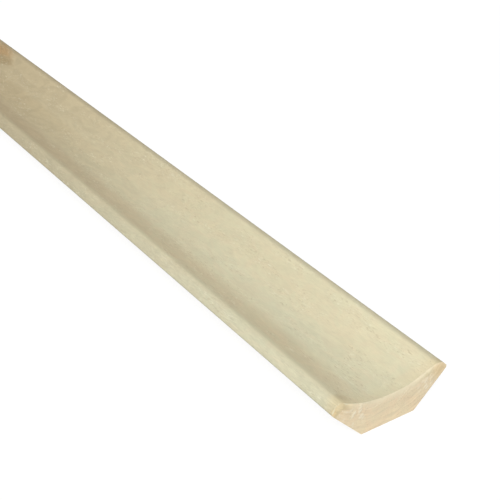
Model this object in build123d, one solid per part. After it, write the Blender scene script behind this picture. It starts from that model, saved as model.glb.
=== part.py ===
from build123d import *

import os
from math import cos, radians, sin, tan

# Skirting board: one length of planed cove moulding, lying on its narrow back with the cove up.
# Fitted, it turns 45 degrees: one bevel lies on the wall, the other on the floor, and the cove
# closes the corner between them. X runs along the length, Y across it, and Z is up from the back.
# The origin is under the middle of the piece, on the level of the back. Lengths are millimetres.

# Driving dimensions of the stock
length = 2000.0
overall_width = 45.0  # across the two rounded tips
back_flat = 21.0  # the narrow back, between the two bevels
bevel_angle = 45.0  # degrees, from the back up to either bevel
edge_thickness = 4.4  # wood left square to a bevel, from its tip to the cove
throat = 11.0  # wood left under the middle of the cove

# Driving dimensions of the worked edges
crest_radius = 3.0  # where the edge rolls over into the cove
tip_radius = 0.8  # where a bevel meets its edge
heel_radius = 0.4  # where a bevel meets the back

# The bevel runs out to a sharp tip just past the rounded one
bevel_way = radians(bevel_angle)
tip_overrun = tip_radius * (cos(bevel_way) + sin(bevel_way) - 1)
tip_out = overall_width / 2 + tip_overrun
heel_out = back_flat / 2
tip_up = (tip_out - heel_out) * tan(bevel_way)

# The edge stands square to its bevel and leans in to a sharp crest
crest_out = tip_out - edge_thickness * sin(bevel_way)
crest_up = tip_up + edge_thickness * cos(bevel_way)


def long_edges(section, out, up):
    """The two corners of the section, one on each side, that become one pair of long edges."""
    places = (Vector(-out, up), Vector(out, up))
    return [min(section.vertices(), key=lambda v: (Vector(v) - place).length) for place in places]


# Section, drawn flat with its first axis across the piece and its second one up
with BuildSketch() as section:
    with BuildLine():
        Polyline(
            (-crest_out, crest_up),
            (-tip_out, tip_up),
            (-heel_out, 0),
            (heel_out, 0),
            (tip_out, tip_up),
            (crest_out, crest_up),
        )
        ThreePointArc((crest_out, crest_up), (0, throat), (-crest_out, crest_up))
    make_face()
    fillet(long_edges(section, crest_out, crest_up), crest_radius)
    fillet(long_edges(section, tip_out, tip_up), tip_radius)
    fillet(long_edges(section, heel_out, 0), heel_radius)

# The moulding is the section run straight along X, half of it to each side of the origin
across = Plane(origin=(0, 0, 0), x_dir=(0, 1, 0), z_dir=(1, 0, 0))
skirting_board = extrude(across * section.sketch, length / 2, both=True)
skirting_board.label = "skirting_board"

os.makedirs("parts", exist_ok=True)
export_step(skirting_board, "parts/skirting_board.step")
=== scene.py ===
from math import atan2, cos, pi, radians, sin, sqrt, tan
from random import Random

import bmesh
import bpy
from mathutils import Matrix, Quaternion, Vector


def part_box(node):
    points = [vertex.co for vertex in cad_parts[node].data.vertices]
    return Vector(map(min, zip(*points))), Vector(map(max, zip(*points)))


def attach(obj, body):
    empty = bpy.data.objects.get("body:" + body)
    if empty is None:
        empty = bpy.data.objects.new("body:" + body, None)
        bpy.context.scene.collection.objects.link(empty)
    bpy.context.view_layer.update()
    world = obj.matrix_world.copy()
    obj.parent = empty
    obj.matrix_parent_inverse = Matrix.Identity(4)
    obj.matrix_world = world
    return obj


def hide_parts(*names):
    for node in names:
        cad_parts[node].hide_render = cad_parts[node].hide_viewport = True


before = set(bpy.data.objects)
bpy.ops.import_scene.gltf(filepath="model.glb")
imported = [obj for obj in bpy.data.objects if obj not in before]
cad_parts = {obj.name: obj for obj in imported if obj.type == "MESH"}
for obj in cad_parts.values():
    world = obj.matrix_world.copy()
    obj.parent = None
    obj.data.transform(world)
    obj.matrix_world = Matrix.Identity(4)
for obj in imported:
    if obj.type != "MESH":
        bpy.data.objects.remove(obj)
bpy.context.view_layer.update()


# Skirting board
# One length of pale, close-grained hardwood, planed to a shallow cove between two rounded edges and
# left bare. Its narrow back is bevelled on both sides, and its ends are sawn square.

# Sizes of the planed section, in metres
board_low, board_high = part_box("skirting_board")
half_length = (board_high.x - board_low.x) / 2
half_width = (board_high.y - board_low.y) / 2
back_flat = 0.021
bevel_way = radians(45)
edge_thickness = 0.0044
throat = 0.011
crest_radius = 0.003
tip_radius = 0.0008
heel_radius = 0.0004

# Sharp corners of one half of the section, out from its middle and up from its back
tip_out = half_width + tip_radius * (cos(bevel_way) + sin(bevel_way) - 1)
tip_up = (tip_out - back_flat / 2) * tan(bevel_way)
crest_out = tip_out - edge_thickness * sin(bevel_way)
crest_up = tip_up + edge_thickness * cos(bevel_way)

# The cove is an arc through both sharp crests, and each crest is an arc between it and the land,
# which is the narrow edge that stands square to the bevel
cove_rise = crest_up - throat
cove_radius = (crest_out ** 2 + cove_rise ** 2) / (2 * cove_rise)
cove_hub = Vector((0, throat + cove_radius))
tip = Vector((tip_out, tip_up))
land_run = Vector((-sin(bevel_way), cos(bevel_way)))
land_normal = Vector((cos(bevel_way), sin(bevel_way)))
hub_along = (cove_hub - tip).dot(land_run)
hub_off = (cove_hub - tip).dot(land_normal)
crest_along = hub_along - sqrt((cove_radius + crest_radius) ** 2 - (crest_radius + hub_off) ** 2)
crest_hub = tip + crest_along * land_run - crest_radius * land_normal
cove_lean = atan2(crest_hub.x, cove_hub.y - crest_hub.y)
tip_hub = Vector((half_width - tip_radius, tip_up))
heel_hub = Vector((back_flat / 2 - heel_radius * tan(bevel_way / 2), heel_radius))


def extrude_to(out, up, steps):
    """Draws a straight run of the section from its last point to this one."""
    section = bmesh.from_edit_mesh(board.data)
    last = next(point for point in section.verts if point.select).co
    step = (0, (out - last.y) / steps, (up - last.z) / steps)
    for _ in range(steps):
        bpy.ops.mesh.extrude_vertices_move(TRANSFORM_OT_translate={"value": step})


def spin_round(hub, angle, steps):
    """Draws an arc of the section from its last point round this hub."""
    bpy.ops.mesh.spin(steps=steps, angle=angle, center=(half_length, hub.x, hub.y), axis=(1, 0, 0))


# One half of the section is drawn at the near end, from the middle of the cove round to the middle
# of the back, and mirrored to the other side
bpy.ops.object.select_all(action="DESELECT")
bpy.ops.mesh.primitive_plane_add(size=0.001)
board = bpy.context.object
board.name = "cove_moulding"
bpy.ops.object.mode_set(mode="EDIT")
bpy.ops.mesh.select_mode(type="VERT")
bpy.ops.mesh.select_all(action="SELECT")
bpy.ops.mesh.merge(type="CENTER")
bpy.ops.transform.translate(value=(half_length, 0, throat))
land_foot = tip_hub + tip_radius * land_normal
bevel_foot = heel_hub + heel_radius * Vector((sin(bevel_way), -cos(bevel_way)))
spin_round(cove_hub, -cove_lean, steps=44)
spin_round(crest_hub, cove_lean + bevel_way, steps=14)
extrude_to(land_foot.x, land_foot.y, steps=4)
spin_round(tip_hub, pi / 2, steps=8)
extrude_to(bevel_foot.x, bevel_foot.y, steps=32)
spin_round(heel_hub, bevel_way, steps=4)
extrude_to(0, 0, steps=20)
bpy.ops.object.mode_set(mode="OBJECT")


def section_key(place):
    """Names a point of the section by its distance from the middle and its height, in micrometres."""
    return round(abs(place.y) * 1e6), round(place.z * 1e6)


# How far round the section each of its points lies from the middle of the cove
way_round = {}
half_round = 0.0
last_place = board.data.vertices[0].co
for point in board.data.vertices:
    half_round += (point.co - last_place).length
    way_round[section_key(point.co)] = half_round
    last_place = point.co

mirror = board.modifiers.new("other half", "MIRROR")
mirror.use_axis = (False, True, False)
mirror.merge_threshold = 0.00001
bpy.ops.object.modifier_apply(modifier=mirror.name)

# The section is filled and drawn out along the length
bpy.ops.object.mode_set(mode="EDIT")
bpy.ops.mesh.select_all(action="SELECT")
bpy.ops.mesh.edge_face_add()
length_run = (-2 * half_length, 0, 0)
bpy.ops.mesh.extrude_region_move(TRANSFORM_OT_translate={"value": length_run})
bpy.ops.mesh.select_all(action="SELECT")
bpy.ops.mesh.normals_make_consistent(inside=False)

# The piece has two finishes, planed faces and sawn ends
planed_wood = bpy.data.materials.new("planed_wood")
sawn_wood = bpy.data.materials.new("sawn_wood")
planed_slot = 0
sawn_slot = 1
for finish in (planed_wood, sawn_wood):
    board.data.materials.append(finish)


def pick_faces(test):
    """Selects just the faces of the board that pass this test."""
    bpy.ops.mesh.select_mode(type="FACE")
    bpy.ops.mesh.select_all(action="DESELECT")
    shape = bmesh.from_edit_mesh(board.data)
    for face in shape.faces:
        if test(face):
            face.select_set(True)
    bmesh.update_edit_mesh(board.data)


def is_end(face):
    """Whether a face of the board lies square to its length."""
    nearly_square = 0.99
    return abs(face.normal.x) > nearly_square


def finish_picked(slot):
    """Gives the selected faces of the board this finish."""
    board.active_material_index = slot
    bpy.ops.object.material_slot_assign()


# Inside a narrow rim, each end is cut into a grid that is fine enough to show the saw's tears
rim_width = 0.0003
grid = 0.0006
pick_faces(is_end)
bpy.ops.mesh.inset(thickness=rim_width, depth=0)
finish_picked(sawn_slot)
grid_columns = int(half_width / grid)
grid_rows = int(board_high.z / grid)
grid_cuts = [((0, column * grid, 0), (0, 1, 0)) for column in range(-grid_columns, grid_columns + 1)]
grid_cuts += [((0, 0, row * grid), (0, 0, 1)) for row in range(1, grid_rows + 1)]
for place, way in grid_cuts:
    pick_faces(lambda face: face.material_index == sawn_slot)
    bpy.ops.mesh.bisect(plane_co=place, plane_no=way)
pick_faces(is_end)
finish_picked(sawn_slot)

# The long faces are parted in thirds, and a short row of them stands behind each rim
third = half_length / 3
row_width = 0.0025
rim_row = half_length - row_width
for place in (-rim_row, -third, third, rim_row):
    bpy.ops.mesh.select_all(action="SELECT")
    bpy.ops.mesh.bisect(plane_co=(place, 0, 0), plane_no=(1, 0, 0))

# The saw broke the arris: it is worn back a little all round, and splinters are torn off along the
# near land and the far side of the cove. Each mark is a place across the end and the depth torn there
arris_wear = 0.00014
least_wear = 0.85
tear_height = 0.0011
tear_marks = (
    (-half_width, 0.0007),
    (-0.0205, 0.0012),
    (-0.0195, 0.0011),
    (-0.0175, 0.0006),
    (-0.015, 0.0003),
    (-0.011, 0.0),
    (0.0065, 0.0),
    (0.011, 0.0003),
    (0.0145, 0.0006),
    (0.0165, 0.0005),
    (0.019, 0.0001),
    (half_width, 0.0001),
)


def depth_below(place):
    """How deep a point lies below the cove, the crest or the land that is over it."""
    spot = Vector((abs(place.y), place.z))
    from_crest = spot - crest_hub
    if land_normal.cross(from_crest) > 0 and from_crest.cross(cove_hub - crest_hub) > 0:
        return crest_radius - from_crest.length
    below_land = (tip - spot).dot(land_normal)
    below_cove = (spot - cove_hub).length - cove_radius
    return min(below_land, below_cove)


def torn_off(place):
    """How far back the arris is torn, straight over a point of the end."""
    for (start, first), (end, last) in zip(tear_marks, tear_marks[1:]):
        if place.y <= end:
            return first + (last - first) * (place.y - start) / (end - start)
    return 0.0


wear_draw = Random(11)
shape = bmesh.from_edit_mesh(board.data)
for point in shape.verts:
    finishes = {face.material_index for face in point.link_faces}
    if sawn_slot in finishes:
        wear = torn_off(point.co) * max(0, 1 - depth_below(point.co) / tear_height)
        if planed_slot in finishes:
            wear += arris_wear
        wear *= wear_draw.uniform(least_wear, 1.0)
        point.co.x -= wear if point.co.x > 0 else -wear
bmesh.update_edit_mesh(board.data)

# The sawn faces are rough inside their arris
smooth_angle = radians(35)
bpy.ops.object.mode_set(mode="OBJECT")
finish_points = {planed_slot: set(), sawn_slot: set()}
for face in board.data.polygons:
    finish_points[face.material_index].update(face.vertices)
rough_group = board.vertex_groups.new(name="sawn faces")
rough_group.add(list(finish_points[sawn_slot] - finish_points[planed_slot]), 1.0, "REPLACE")
tears = bpy.data.textures.new("saw tears", "CLOUDS")
tears.noise_scale = 0.0014
tears.noise_depth = 2
roughen = board.modifiers.new("saw tears", "DISPLACE")
roughen.texture = tears
roughen.texture_coords = "LOCAL"
roughen.direction = "NORMAL"
roughen.mid_level = 1.0
roughen.strength = 0.00022
roughen.vertex_group = rough_group.name
bpy.ops.object.modifier_apply(modifier=roughen.name)
bpy.ops.object.shade_smooth_by_angle(angle=smooth_angle)

# Each point keeps its depth below the planed top, and the depth torn off over it, for the sawn finish
depth_marks = board.data.attributes.new("depth", "FLOAT", "POINT")
torn_marks = board.data.attributes.new("torn", "FLOAT", "POINT")
for point in board.data.vertices:
    depth_marks.data[point.index].value = depth_below(point.co)
    torn_marks.data[point.index].value = torn_off(point.co)

# The bake's map has the three thirds of the length one above the other, each unrolled from the
# middle of the cove to the seam in the middle of the back, and the two ends above them
bake_map = board.data.uv_layers.active
bake_map.name = "OFBake"
map_margin = 0.004
strip_height = 0.3
ends_foot = map_margin + 3 * (strip_height + map_margin)
for face in board.data.polygons:
    side = 1 if face.center.y > 0 else -1
    strip = int((face.center.x + half_length) / (2 * third))
    strip_foot = map_margin + strip * (strip_height + map_margin)
    end_foot = map_margin if face.center.x < 0 else 0.5 + map_margin
    for corner in face.loop_indices:
        place = board.data.vertices[board.data.loops[corner].vertex_index].co
        if face.material_index == planed_slot:
            along_share = (place.x + half_length) / (2 * third) - strip
            round_share = 0.5 + 0.5 * side * way_round[section_key(place)] / half_round
            map_place = (map_margin + along_share * (1 - 2 * map_margin),
                         strip_foot + round_share * strip_height)
        else:
            across_share = 0.5 + 0.5 * place.y / half_width
            up_share = place.z / board_high.z
            map_place = (end_foot + across_share * (0.5 - 2 * map_margin),
                         ends_foot + up_share * (1 - map_margin - ends_foot))
        bake_map.data[corner].uv = map_place


def add_node(tree, kind, inputs, **settings):
    """Adds a shader node, and sets or links its inputs, given by name or by number."""
    node = tree.nodes.new("ShaderNode" + kind)
    for name, value in settings.items():
        setattr(node, name, value)
    for name, value in inputs.items():
        if isinstance(value, bpy.types.NodeSocket):
            tree.links.new(value, node.inputs[name])
        else:
            node.inputs[name].default_value = value
    return node


def calc(tree, operation, *values):
    """One step of arithmetic on values that change over the surface."""
    return add_node(tree, "Math", dict(enumerate(values)), operation=operation).outputs[0]


def ramp(tree, value, low, high):
    """A mask that rises smoothly from 0 to 1 while the value goes from low to high."""
    rise = {"Value": value, "From Min": low, "From Max": high}
    return add_node(tree, "MapRange", rise, interpolation_type="SMOOTHSTEP").outputs["Result"]


def blend(tree, amount, first, second, way="MIX"):
    """The first colour, mixed by this amount with the second one."""
    mix = add_node(tree, "Mix", {0: amount, 6: first, 7: second}, data_type="RGBA", blend_type=way)
    return mix.outputs[2]


def tint(tree, amount, colour, tone):
    """A colour multiplied by a tone, as far as this amount goes."""
    return blend(tree, amount, colour, tone, way="MULTIPLY")


def shade(tree, colour, level):
    """A colour made lighter or darker by a level round 1."""
    return add_node(tree, "VectorMath", {0: colour, "Scale": level}, operation="SCALE").outputs[0]


def patches(tree, place, sizes, detail=2.0, seed=0.0, waves=0.0):
    """A soft random value round 0.5, in patches of these sizes."""
    scale = tuple(1 / size for size in sizes)
    spread = {"Vector": place, "Location": (seed, seed, seed), "Scale": scale}
    spot = add_node(tree, "Mapping", spread).outputs[0]
    field = {"Vector": spot, "Scale": 1.0, "Detail": detail, "Distortion": waves}
    return add_node(tree, "TexNoise", field).outputs["Fac"]


def vary(tree, level, value, amount):
    """A level raised and lowered by a random value round 0.5."""
    swing = calc(tree, "SUBTRACT", value, 0.5)
    return calc(tree, "MULTIPLY_ADD", swing, amount, level)


def near_spot(tree, place, spot, reach):
    """A mask that is 1 round a spot, to a fifth of this reach, and fades out at the reach."""
    off_spot = add_node(tree, "VectorMath", {0: place, 1: spot}, operation="DISTANCE").outputs["Value"]
    return ramp(tree, off_spot, low=reach, high=reach / 5)


# The stock is one solid piece of a tree: growth rings round a pith above the board, cloudy wood, one
# knot, a few stains and one patch of painted shade. The same wood shows on every face that is cut through
# it
stock = bpy.data.node_groups.new("solid_stock", "ShaderNodeTree")
stock.interface.new_socket("Place", in_out="INPUT", socket_type="NodeSocketVector")
stock.interface.new_socket("Colour", in_out="OUTPUT", socket_type="NodeSocketColor")
stock.interface.new_socket("Late wood", in_out="OUTPUT", socket_type="NodeSocketFloat")
stock.interface.new_socket("Ring place", in_out="OUTPUT", socket_type="NodeSocketVector")
stock.interface.new_socket("Near knot", in_out="OUTPUT", socket_type="NodeSocketFloat")
stock_place = stock.nodes.new("NodeGroupInput").outputs["Place"]
stock_out = stock.nodes.new("NodeGroupOutput")
along, across, up = add_node(stock, "SeparateXYZ", {0: stock_place}).outputs
out_along = calc(stock, "ABSOLUTE", along)

# The rings drift and wobble along the board, and each year ends in a narrow band of late wood
pith_across = -0.006
pith_up = 0.044
ring_width = 0.0018
mean_radius = 0.036
ring_drift = 0.014
ring_wobble = 0.0024
off_pith = calc(stock, "SUBTRACT", across, pith_across)
under_pith = calc(stock, "SUBTRACT", pith_up, up)
ring_around = calc(stock, "MULTIPLY", calc(stock, "ARCTAN2", off_pith, under_pith), mean_radius)
off_squared = calc(stock, "POWER", off_pith, 2.0)
under_squared = calc(stock, "POWER", under_pith, 2.0)
true_radius = calc(stock, "SQRT", calc(stock, "ADD", off_squared, under_squared))
drift = patches(stock, stock_place, (0.45, 0.03, 0.03), detail=1.0)
wobble = patches(stock, stock_place, (0.05, 0.007, 0.007), detail=1.0, seed=4.0)
ring_radius = vary(stock, vary(stock, true_radius, drift, ring_drift), wobble, ring_wobble)
year = calc(stock, "FRACT", calc(stock, "DIVIDE", ring_radius, ring_width))
late_rise = ramp(stock, year, low=0.5, high=0.92)
late_end = ramp(stock, year, low=1.0, high=0.93)
late_wood = calc(stock, "MULTIPLY", late_rise, late_end)
ring_place = add_node(stock, "CombineXYZ", {0: ring_around, 1: ring_radius, 2: along}).outputs[0]

# The wood is cloudy, between a greyer cream along its middle and a warmer one at its sides
sap_colour = (0.715, 0.678, 0.48, 1)
heart_colour = (0.775, 0.702, 0.482, 1)
sap_middle = -0.003
middle_heart = 0.4
side_heart = 0.7
mottle = patches(stock, stock_place, (0.04, 0.014, 0.014), detail=1.0, seed=2.0, waves=1.0)
off_sap = calc(stock, "ABSOLUTE", calc(stock, "SUBTRACT", across, sap_middle))
at_side = ramp(stock, off_sap, low=0.002, high=0.011)
heart = calc(stock, "MULTIPLY_ADD", at_side, side_heart - middle_heart, middle_heart)
wood_colour = blend(stock, vary(stock, heart, mottle, amount=1.0), sap_colour, heart_colour)

# Small patches of it are pinker or greener, and it is browner just behind the sawn ends
pink_tone = (1.009, 0.991, 0.988, 1)
green_tone = (0.991, 1.009, 1.006, 1)
end_tone = (1.0, 0.965, 0.93, 1)
end_reach = 0.007
end_full = 0.001
end_share = 0.8
hue_patch = patches(stock, stock_place, (0.011, 0.006, 0.006), detail=1.0, seed=8.0, waves=1.5)
hue_tone = blend(stock, ramp(stock, hue_patch, low=0.3, high=0.7), pink_tone, green_tone)
wood_colour = tint(stock, 1.0, wood_colour, hue_tone)
near_end = ramp(stock, out_along, half_length - end_reach, half_length - end_full)
wood_colour = tint(stock, calc(stock, "MULTIPLY", near_end, end_share), wood_colour, end_tone)

# The wood is browner round one knot, which has a duller patch on its near side. Each has its place,
# its reach along, across and through the piece, and its colour, in rings round its heart
knot_along = half_length - 0.318
knots = (
    ((knot_along, 0.015, 0.014), (0.015, 0.006, 0.02), (0.5, 0.345, 0.18)),
    ((knot_along + 0.009, 0.0118, 0.0128), (0.012, 0.004, 0.02), (0.43, 0.335, 0.19)),
)
tan_colour = (0.575, 0.482, 0.305, 1)
halo_reach = 0.27
knot_raggedness = 0.9
knot_rings = 28.0
knot_ring_depth = 0.07
from_knot = calc(stock, "ABSOLUTE", calc(stock, "SUBTRACT", along, knot_along))
halo = ramp(stock, from_knot, low=halo_reach, high=0.0)
stock_colour = blend(stock, halo, wood_colour, tan_colour)
knot_waver = patches(stock, stock_place, (0.012, 0.003, 0.003), detail=2.0, seed=6.0)
for knot_place, knot_size, knot_colour in knots:
    shift = add_node(stock, "VectorMath", {0: stock_place, 1: knot_place}, operation="SUBTRACT").outputs[0]
    scaled = add_node(stock, "VectorMath", {0: shift, 1: knot_size}, operation="DIVIDE").outputs[0]
    off_heart = add_node(stock, "VectorMath", {0: scaled}, operation="LENGTH").outputs["Value"]
    knot_edge = vary(stock, off_heart, knot_waver, knot_raggedness)
    knot = ramp(stock, knot_edge, low=1.1, high=0.3)
    knot_ring = calc(stock, "SINE", calc(stock, "MULTIPLY", knot_edge, knot_rings))
    ring_level = calc(stock, "MULTIPLY_ADD", knot_ring, knot_ring_depth, 1.0)
    stock_colour = blend(stock, knot, stock_colour, shade(stock, knot_colour, ring_level))

# Spots at the near end: three stains, a small orange one at the near tip, a tan one at the far tip and a
# warm one along the near land, and a brown patch of painted shade under the near crest. Each has its
# place, its reach and its colour
stains_and_shade_spots = (
    ((half_length - 0.0005, -0.0217, 0.013), 0.0015, (0.78, 0.53, 0.24, 1)),
    ((half_length, 0.0197, 0.0122), 0.005, (0.73, 0.61, 0.35, 1)),
    ((half_length - 0.001, -0.019, 0.0146), 0.006, (0.77, 0.655, 0.405, 1)),
    # The brown one is painted shade on the hollow's near flank, which faces away from the light
    ((half_length - 0.004, -0.0163, 0.0143), 0.003, (0.62, 0.53, 0.335, 1)),
)
spot_share = 0.7
for spot, reach, spot_colour in stains_and_shade_spots:
    spotted = calc(stock, "MULTIPLY", near_spot(stock, stock_place, spot, reach), spot_share)
    stock_colour = blend(stock, spotted, stock_colour, spot_colour)

stock.links.new(stock_colour, stock_out.inputs["Colour"])
stock.links.new(late_wood, stock_out.inputs["Late wood"])
stock.links.new(ring_place, stock_out.inputs["Ring place"])
stock.links.new(halo, stock_out.inputs["Near knot"])


def start_wood(finish):
    """Places the stock in one finish: its shader, the place on the piece, and the stock's outputs."""
    finish.use_nodes = True
    tree = finish.node_tree
    place = add_node(tree, "TexCoord", {}).outputs["Object"]
    wood = tree.nodes.new("ShaderNodeGroup")
    wood.node_tree = stock
    tree.links.new(place, wood.inputs["Place"])
    return tree, tree.nodes["Principled BSDF"], place, wood.outputs


# Planed faces: short fine fibres, and a curly figure in soft patches that is stronger round the knot
tree, shader, place, wood = start_wood(planed_wood)
plain_figure = 0.02
knot_figure = 0.055
late_level = -0.015
fibre = patches(tree, place, (0.0035, 0.00045, 0.00045), detail=3.0, waves=1.5)
curl = patches(tree, place, (0.01, 0.005, 0.005), detail=2.0, seed=3.0, waves=2.5)
cloud = patches(tree, place, (0.024, 0.011, 0.011), detail=1.0, seed=11.0, waves=2.5)
figure = calc(tree, "MULTIPLY_ADD", wood["Near knot"], knot_figure, plain_figure)
level = vary(tree, 1.0, fibre, amount=0.2)
level = vary(tree, level, curl, amount=0.14)
level = vary(tree, level, ramp(tree, cloud, low=0.4, high=0.6), amount=figure)
level = calc(tree, "MULTIPLY_ADD", wood["Late wood"], late_level, level)
planed_colour = shade(tree, wood["Colour"], level)

# Its near edge is dull from handling: grey along the near land, the more so away from the sawn ends.
# Along the far land the colour is darkened as painted shade, where the far crest rolls away from the light
near_edge = -0.0197
near_fade = 0.00175
near_edge_tone = (0.85, 0.872, 0.89, 1)
dull_edge_tone = (0.77, 0.775, 0.785, 1)
dull_run = 0.22
edge_grain = 0.3
far_edge = 0.0183
far_fade = 0.0007
painted_far_edge_shade = (0.9, 0.9, 0.9, 1)
axes = add_node(tree, "SeparateXYZ", {0: place}).outputs
across = axes["Y"]
out_along = calc(tree, "ABSOLUTE", axes["X"])
off_end = ramp(tree, out_along, half_length, half_length - dull_run)
edge_tone = blend(tree, off_end, near_edge_tone, dull_edge_tone)
on_near_edge = ramp(tree, across, near_edge + near_fade, near_edge - near_fade)
on_far_edge = ramp(tree, across, far_edge - far_fade, far_edge + far_fade)
planed_colour = tint(tree, on_near_edge, planed_colour, edge_tone)
edge_level = vary(tree, 1.0, fibre, calc(tree, "MULTIPLY", on_near_edge, edge_grain))
planed_colour = shade(tree, planed_colour, edge_level)
planed_colour = tint(tree, on_far_edge, planed_colour, painted_far_edge_shade)

# Away from the sawn ends the hollow changes: along its near side, which faces away from the light, it is
# browned and darkened as painted shade; it is a little darker along its far side, and browner along its
# middle towards the knot. Each stretch has how far back from an end its tone starts, how far back it is
# full, and the tone
hollow_middle = -0.0015
off_near_crest = ramp(tree, across, low=-0.0182, high=-0.0155)
near_side_shade = calc(tree, "MULTIPLY", ramp(tree, across, low=-0.006, high=-0.012), off_near_crest)
far_side = ramp(tree, across, low=0.003, high=0.009)
off_middle = calc(tree, "ABSOLUTE", calc(tree, "SUBTRACT", across, hollow_middle))
middle = ramp(tree, off_middle, low=0.0085, high=0.004)
hollow_shade_and_tones = (
    (near_side_shade, -0.02, 0.04, (0.93, 0.89, 0.868, 1)),
    (far_side, 0.02, 0.07, (0.962, 0.955, 0.95, 1)),
    (middle, 0.12, 0.26, (0.96, 0.935, 0.905, 1)),
)
for stretch, start, full, tone in hollow_shade_and_tones:
    run = ramp(tree, out_along, half_length - start, half_length - full)
    planed_colour = tint(tree, calc(tree, "MULTIPLY", stretch, run), planed_colour, tone)

# Flecks, dark ones beside pale ones, stand in clusters, and the dark ones are small pits
dark_fleck_colour = (0.46, 0.37, 0.22, 1)
pale_fleck_colour = (0.88, 0.84, 0.66, 1)
dark_fleck_share = 0.4
pale_fleck_share = 0.45
fleck_pit = -0.7
cluster_patch = patches(tree, place, (0.02, 0.006, 0.006), detail=1.0, seed=13.0)
cluster = ramp(tree, cluster_patch, low=0.4, high=0.6)
fleck = patches(tree, place, (0.0035, 0.001, 0.001), detail=1.0, seed=5.0, waves=2.5)
dark_fleck = calc(tree, "MULTIPLY", ramp(tree, fleck, low=0.4, high=0.28), cluster)
pale_fleck = calc(tree, "MULTIPLY", ramp(tree, fleck, low=0.6, high=0.72), cluster)
darkened = calc(tree, "MULTIPLY", dark_fleck, dark_fleck_share)
planed_colour = blend(tree, darkened, planed_colour, dark_fleck_colour)
paled = calc(tree, "MULTIPLY", pale_fleck, pale_fleck_share)
planed_colour = blend(tree, paled, planed_colour, pale_fleck_colour)
planed_height = calc(tree, "MULTIPLY_ADD", dark_fleck, fleck_pit, fibre)
planed_bump = add_node(tree, "Bump", {"Height": planed_height, "Strength": 0.25, "Distance": 0.0001})
tree.links.new(planed_colour, shader.inputs["Base Color"])
tree.links.new(vary(tree, 0.6, fibre, amount=0.25), shader.inputs["Roughness"])
tree.links.new(planed_bump.outputs["Normal"], shader.inputs["Normal"])
shader.inputs["Specular IOR Level"].default_value = 0.1

# Sawn ends: warmer, with streaks that follow the rings and a few open pores
tree, shader, place, wood = start_wood(sawn_wood)
sawn_tone = (1.045, 0.973, 0.99, 1)
sawn_level = 1.02
pore_colour = (0.5, 0.39, 0.23, 1)
pore_share = 0.2
streak = patches(tree, wood["Ring place"], (0.009, 0.0006, 0.5), detail=3.0)
speckle = patches(tree, place, (0.0005, 0.0005, 0.0005), detail=2.0, seed=1.0)
level = vary(tree, sawn_level, streak, amount=0.45)
level = vary(tree, level, speckle, amount=0.14)
sawn_colour = shade(tree, tint(tree, 1.0, wood["Colour"], sawn_tone), level)
pore_patch = patches(tree, place, (0.0007, 0.0007, 0.0007), detail=0.0, seed=6.0)
pore = ramp(tree, pore_patch, low=0.3, high=0.22)
sawn_colour = blend(tree, calc(tree, "MULTIPLY", pore, pore_share), sawn_colour, pore_colour)

# Under the planed top the cut is paler, the more so towards the far side, but not at the far tip
strip_colour = (0.86, 0.775, 0.56, 1)
strip_depth = 0.003
strip_full = 0.0004
near_strip_share = 0.25
far_strip_share = 0.85
depth = add_node(tree, "Attribute", {}, attribute_name="depth").outputs["Fac"]
across = add_node(tree, "SeparateXYZ", {0: place}).outputs["Y"]
to_far_side = ramp(tree, across, low=-0.018, high=0.002)
off_far_tip = ramp(tree, across, low=0.019, high=0.014)
strip = ramp(tree, vary(tree, depth, streak, amount=0.004), strip_depth, strip_full)
side_share = calc(tree, "MULTIPLY_ADD", to_far_side, far_strip_share - near_strip_share, near_strip_share)
strip_share = calc(tree, "MULTIPLY", side_share, off_far_tip)
sawn_colour = blend(tree, calc(tree, "MULTIPLY", strip, strip_share), sawn_colour, strip_colour)

# Where splinters are torn off, their bed is darker: partly the torn wood's own duller colour, partly
# painted shade of the tear's lip and its rough fibres
bed_tone_and_shade = (0.75, 0.755, 0.7, 1)
bed_depth = 2.3 * tear_height
bed_full = 1.3 * tear_height
torn_depth = add_node(tree, "Attribute", {}, attribute_name="torn").outputs["Fac"]
in_tear = ramp(tree, vary(tree, depth, speckle, amount=0.0008), bed_depth, bed_full)
bed = calc(tree, "MULTIPLY", ramp(tree, torn_depth, low=0.0001, high=0.0008), in_tear)
sawn_colour = tint(tree, bed, sawn_colour, bed_tone_and_shade)

# A ragged pale line of broken fibres runs along the arris, wider and paler on the far side
near_line_colour = (0.7, 0.65, 0.455, 1)
far_line_colour = (0.85, 0.755, 0.54, 1)
near_line_depth = 0.00035
far_line_depth = 0.00095
line_full = 0.3 * near_line_depth
tip_line_share = 0.35
line_share = 0.85
ragged = patches(tree, place, (0.0016, 0.0016, 0.0016), detail=1.0, seed=9.0)
line_edge = vary(tree, vary(tree, depth, speckle, amount=0.0004), ragged, amount=0.0012)
line_depth = calc(tree, "MULTIPLY_ADD", to_far_side, far_line_depth - near_line_depth, near_line_depth)
line = ramp(tree, line_edge, line_depth, line_full)
line_colour = blend(tree, to_far_side, near_line_colour, far_line_colour)
shown_line = calc(tree, "MULTIPLY_ADD", off_far_tip, line_share - tip_line_share, tip_line_share)
sawn_colour = blend(tree, calc(tree, "MULTIPLY", line, shown_line), sawn_colour, line_colour)

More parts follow.
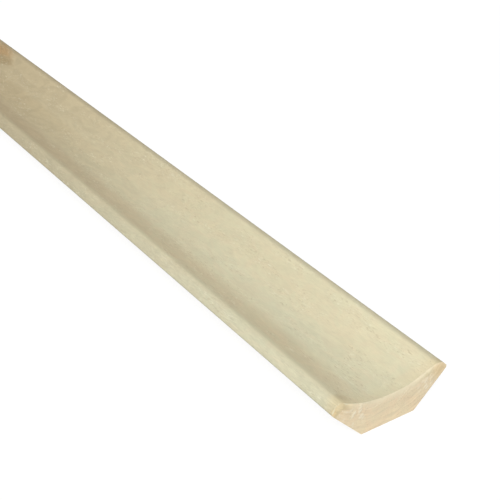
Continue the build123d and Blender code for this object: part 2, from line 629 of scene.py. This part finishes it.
# Torn fibres show as slanted pale strokes in two places, low on the near side and along the far bevel,
# and in broken lines that follow the rings a little way under the cove
torn_colour = (0.88, 0.79, 0.6, 1)
torn_share = 0.85
stroke_gaps = (0.0017, 0.00119, 0.00255)
stroke_slant = radians(-45)
stroke_frame = {"Vector": place, "Rotation": (stroke_slant, 0, 0), "Scale": stroke_gaps}
stroke_place = add_node(tree, "Mapping", stroke_frame, vector_type="TEXTURE").outputs[0]
from_stroke = add_node(tree, "TexVoronoi", {"Vector": stroke_place, "Scale": 1.0}).outputs["Distance"]
stroke = ramp(tree, vary(tree, from_stroke, speckle, amount=0.5), low=0.46, high=0.31)
near_tuft = near_spot(tree, place, (half_length, -0.0135, 0.0083), reach=0.0075)
far_tuft = near_spot(tree, place, (half_length, 0.0145, 0.0083), reach=0.005)
tufts = calc(tree, "MULTIPLY", stroke, calc(tree, "MAXIMUM", near_tuft, far_tuft))
ring_line_share = 0.75
under_top = ramp(tree, depth, low=0.001, high=0.0018)
over_foot = ramp(tree, depth, low=0.005, high=0.0035)
line_stretch = calc(tree, "MULTIPLY", under_top, over_foot)
ring_line = calc(tree, "MULTIPLY", ramp(tree, streak, low=0.54, high=0.64),
                 ramp(tree, speckle, low=0.35, high=0.6))
ring_lines = calc(tree, "MULTIPLY", calc(tree, "MULTIPLY", ring_line, line_stretch), ring_line_share)
off_bed = calc(tree, "SUBTRACT", 1.0, bed)
torn = calc(tree, "MULTIPLY", calc(tree, "MAXIMUM", tufts, ring_lines), off_bed)
sawn_colour = blend(tree, calc(tree, "MULTIPLY", torn, torn_share), sawn_colour, torn_colour)
sawn_height = calc(tree, "ADD", calc(tree, "ADD", speckle, streak), torn)
sawn_bump = add_node(tree, "Bump", {"Height": sawn_height, "Strength": 0.4, "Distance": 0.0002})
tree.links.new(sawn_colour, shader.inputs["Base Color"])
tree.links.new(vary(tree, 0.75, speckle, amount=0.2), shader.inputs["Roughness"])
tree.links.new(sawn_bump.outputs["Normal"], shader.inputs["Normal"])
shader.inputs["Specular IOR Level"].default_value = 0.12

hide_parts("skirting_board")
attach(board, "root")


# Floor
# A wide sheet of white paper that the board lies on. The camera sees it lit from within, so that it
# stays white, and it still takes the board's shadow.
floor_width = 8
floor_drop = 0.0002
lit_tone = (0.7, 0.7, 0.7, 1)
seen_tone = (0.12, 0.12, 0.12, 1)
paper_glow = 0.92
bpy.ops.object.select_all(action="DESELECT")
bpy.ops.mesh.primitive_plane_add(size=floor_width, location=(0, 0, -floor_drop))
floor = bpy.context.object
floor.name = "paper_floor"
white_paper = bpy.data.materials.new("white_paper")
white_paper.use_nodes = True
floor.data.materials.append(white_paper)


def looked_at(tree):
    """1 where the camera looks, straight or by way of gloss or glass, and 0 for light on the board."""
    ray = add_node(tree, "LightPath", {}).outputs
    without_glass = calc(tree, "MAXIMUM", ray["Is Camera Ray"], ray["Is Glossy Ray"])
    return calc(tree, "MAXIMUM", without_glass, ray["Is Transmission Ray"])


tree = white_paper.node_tree
shader = tree.nodes["Principled BSDF"]
seen = looked_at(tree)
tree.links.new(blend(tree, seen, lit_tone, seen_tone), shader.inputs["Base Color"])
tree.links.new(calc(tree, "MULTIPLY", seen, paper_glow), shader.inputs["Emission Strength"])
shader.inputs["Emission Color"].default_value = (1, 1, 1, 1)
shader.inputs["Roughness"].default_value = 0.9
shader.inputs["Specular IOR Level"].default_value = 0.1


# Studio light
# A pale room with one broad soft light from above the camera. A soft box hangs nearer to the end that
# the photograph shows, and a smaller one at the other end, so that neither is left dark.
room_fill = 0.16
room = bpy.data.worlds.new("pale_room")
bpy.context.scene.world = room
room.use_nodes = True
tree = room.node_tree
background = tree.nodes["Background"]
room_level = add_node(tree, "MapRange", {"Value": looked_at(tree), "To Min": room_fill, "To Max": 1.0})
tree.links.new(room_level.outputs["Result"], background.inputs["Strength"])
background.inputs["Color"].default_value = (1, 1, 1, 1)

window_level = 0.57
window_way = Vector((0.45, -0.42, 0.663)).normalized()
bpy.ops.object.light_add(type="SUN", rotation=window_way.to_track_quat("Z", "Y").to_euler())
window = bpy.context.object
window.name = "broad_window"
window.data.angle = radians(35)
window.data.energy = window_level * pi


def hang_box(name, end, way, distance, size, level):
    """Hangs a square lamp at this distance from one end of the board, and lights it to this level."""
    bpy.ops.object.light_add(type="AREA", location=Vector((end, 0, 0)) + distance * way,
                             rotation=way.to_track_quat("Z", "Y").to_euler())
    box = bpy.context.object
    box.name = name
    box.data.size = size
    box.data.energy = level * (pi * distance) ** 2


far_way = Vector((-0.6, 0.45, 0.5)).normalized()
hang_box("soft_box", half_length, window_way, distance=1.2, size=0.5, level=0.466)
hang_box("far_box", -half_length, far_way, distance=0.6, size=0.3, level=0.4)


# Camera
# It stands beside the near end, above the board, and looks down along it with a long lens, as the
# photograph does.
eye = Vector((half_length + 0.18335, -0.18631, 0.21215))
heading = radians(35.81)
dip = radians(30.68)
tilt = radians(2.01)
look = Vector((-cos(dip) * cos(heading), cos(dip) * sin(heading), -sin(dip)))
turn = look.to_track_quat("-Z", "Y") @ Quaternion((0, 0, 1), tilt)
bpy.ops.object.camera_add(location=eye, rotation=turn.to_euler())
camera = bpy.context.object
camera.name = "photo_camera"
camera.data.sensor_fit = "HORIZONTAL"
camera.data.sensor_width = 36
camera.data.lens = 78.07
camera.data.clip_start = 0.01
bpy.context.scene.camera = camera

bpy.context.scene.view_settings.view_transform = "Standard"
